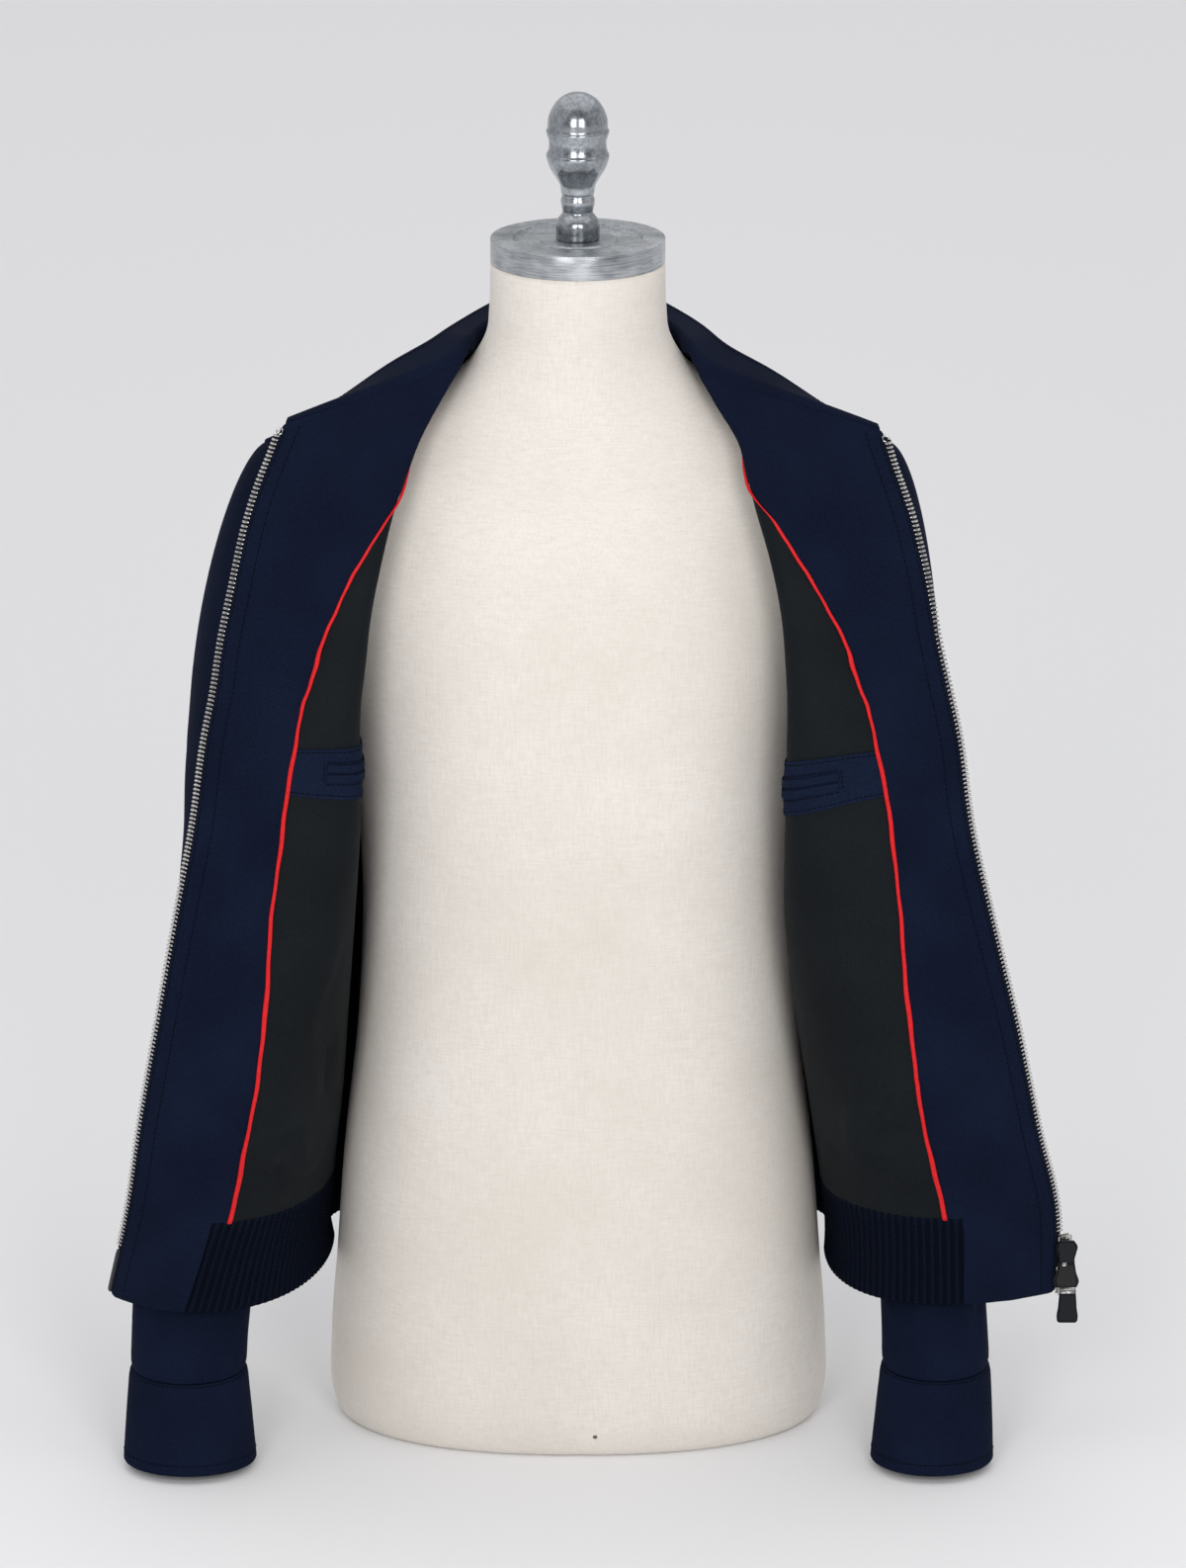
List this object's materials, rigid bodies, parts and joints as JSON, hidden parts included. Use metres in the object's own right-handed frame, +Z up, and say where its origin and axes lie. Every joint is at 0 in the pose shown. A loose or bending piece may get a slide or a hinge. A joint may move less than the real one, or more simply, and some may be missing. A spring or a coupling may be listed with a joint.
{
  "type": "wool zip blouson on a limbless dress form",
  "caption": "Navy wool zip blouson with ribbed hem, laid-back stand collar and red-piped dark lining, worn open on a limbless linen dress form with a metal neck cap and finial.",
  "frame": {"origin": "centre of the dress form's flat base, on the floor", "axes": "+Z up along the form; the open front of the jacket faces -Y; +X is the wearer's left"},
  "size_m": [0.6893, 0.2998, 0.9667],
  "materials": {
    "navy_wool": "matt brushed wool cloth",
    "lining": "soft sheen woven lining",
    "red_piping": "satin",
    "form_linen": "matt linen",
    "cast_metal": "brushed casting",
    "zip_metal": "polished",
    "zip_tape": "black tape and pin",
    "pull_leather": "smooth"
  },
  "bodies": {
    "garment_on_form": {"back": "navy_wool", "collar": "navy_wool", "cuff_left": "navy_wool", "cuff_right": "navy_wool", "facing_left": "navy_wool", "facing_right": "navy_wool", "finial": "cast_metal", "form_torso": "form_linen", "front_left": "navy_wool", "front_right": "navy_wool", "hem_rib": "navy_wool", "lining_left": "lining", "lining_right": "lining", "neck_cap": "cast_metal", "piping_left": "red_piping", "piping_right": "red_piping", "pocket_patch_left": "navy_wool", "pocket_patch_right": "navy_wool", "pocket_welt_lower_left": "navy_wool", "pocket_welt_lower_right": "navy_wool", "pocket_welt_upper_left": "navy_wool", "pocket_welt_upper_right": "navy_wool", "sleeve_left": "navy_wool", "sleeve_right": "navy_wool", "zip_left": "zip_metal", "zip_pin": "zip_tape", "zip_right": "zip_metal", "zip_slider_lower": "zip_metal", "zip_slider_upper": "zip_metal"},
    "upper_pull": {"zip_pull_upper": "pull_leather"},
    "lower_pull": {"zip_pull_lower": "pull_leather"}
  },
  "joints": [
    {"name": "upper_pull_hinge", "type": "hinge", "parent": "garment_on_form", "child": "upper_pull", "pos_m": [0.34503, -0.10877, 0.1647], "axis": [1, 0, 0], "range_deg": [-90, 0]},
    {"name": "lower_pull_hinge", "type": "hinge", "parent": "garment_on_form", "child": "lower_pull", "pos_m": [0.34651, -0.10531, 0.1269], "axis": [1, 0, 0], "range_deg": [-90, 0]}
  ]
}
